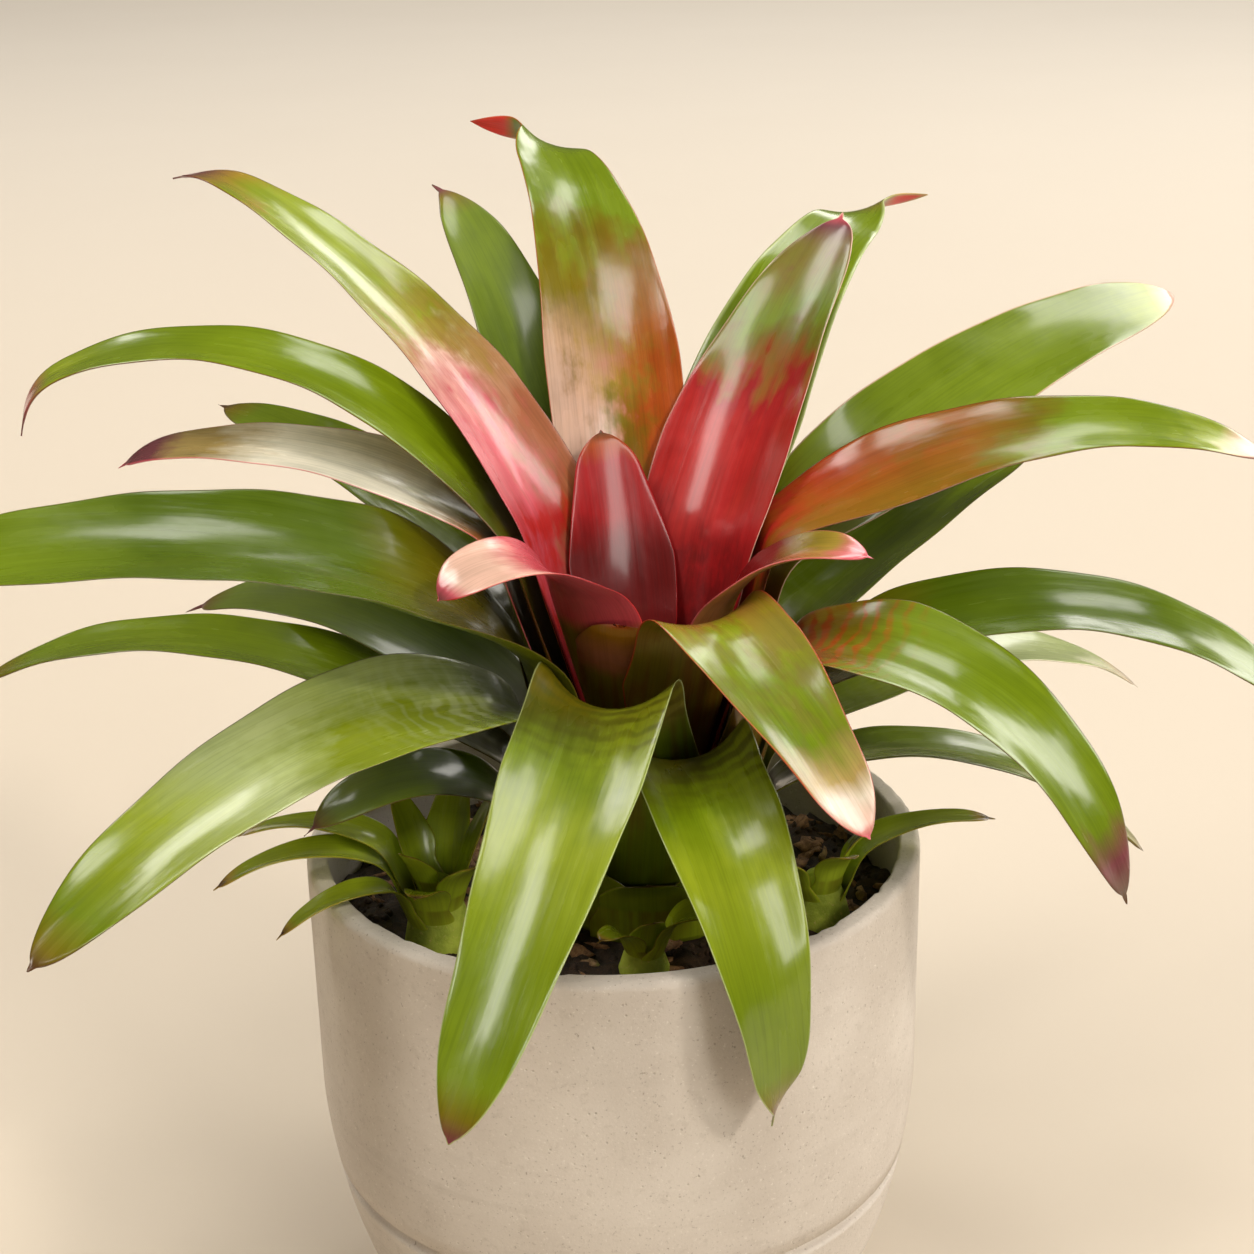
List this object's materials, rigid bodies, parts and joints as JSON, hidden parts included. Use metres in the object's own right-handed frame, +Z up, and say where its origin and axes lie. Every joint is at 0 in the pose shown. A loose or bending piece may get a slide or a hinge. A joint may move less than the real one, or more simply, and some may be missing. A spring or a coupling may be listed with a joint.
{
  "type": "neoregelia bromeliad",
  "caption": "Living bromeliad: a wide rosette of glossy green strap leaves round a crimson cup, with small offsets at its foot, in a round matte concrete pot with a fine groove.",
  "frame": {"origin": "centre of the pot's flat underside", "axes": "+Z up along the pot's axis, -Y towards the front, +X to the right as seen from the front"},
  "size_m": [0.423, 0.344, 0.3712],
  "materials": {
    "concrete": "pale warm grey cast concrete, dry and finely speckled",
    "soil": "dark bark potting mix with brown chips and mossy husk",
    "stem": "dull olive stem hidden by the sheaths",
    "green": "glossy green leaf with faint lengthwise veins and a thin brown margin",
    "olive": "glossy olive leaf flushed with red at its base",
    "rose": "glossy leaf, pink to red at its base and green beyond",
    "crimson": "glossy deep crimson heart leaf",
    "pup": "yellow-green young leaves with dry brown tips"
  },
  "bodies": {
    "root": {"pot": "concrete", "potting_mix": "soil", "stem": "stem", "heart_leaf_centre": "crimson", "heart_leaf_back": "crimson", "heart_leaf_right": "crimson", "heart_leaf_left": "rose", "inner_leaf_back_right": "crimson", "heart_leaf_front": "olive", "inner_leaf_back_left": "rose", "inner_leaf_front_right": "olive", "inner_leaf_right": "olive", "inner_leaf_left_back": "green", "inner_leaf_back": "rose", "inner_leaf_left": "rose", "upper_leaf_back_right": "green", "upper_leaf_right": "green", "upper_leaf_back_left": "green", "upper_leaf_left": "green", "middle_leaf_front": "green", "middle_leaf_right_back": "green", "middle_leaf_left_back": "green", "middle_leaf_right_front": "olive", "middle_leaf_left_front": "green", "middle_leaf_right": "green", "lower_leaf_front": "green", "middle_leaf_back": "green", "lower_leaf_left_back": "green", "lower_leaf_right": "green", "lower_leaf_back_left": "green", "lower_leaf_right_front": "green", "lower_leaf_left": "green", "lower_leaf_back_right": "green", "lower_leaf_left_front": "green", "lowest_leaf_back": "green", "left_pup": "pup", "right_pup": "pup", "front_pup": "pup"}
  },
  "joints": []
}
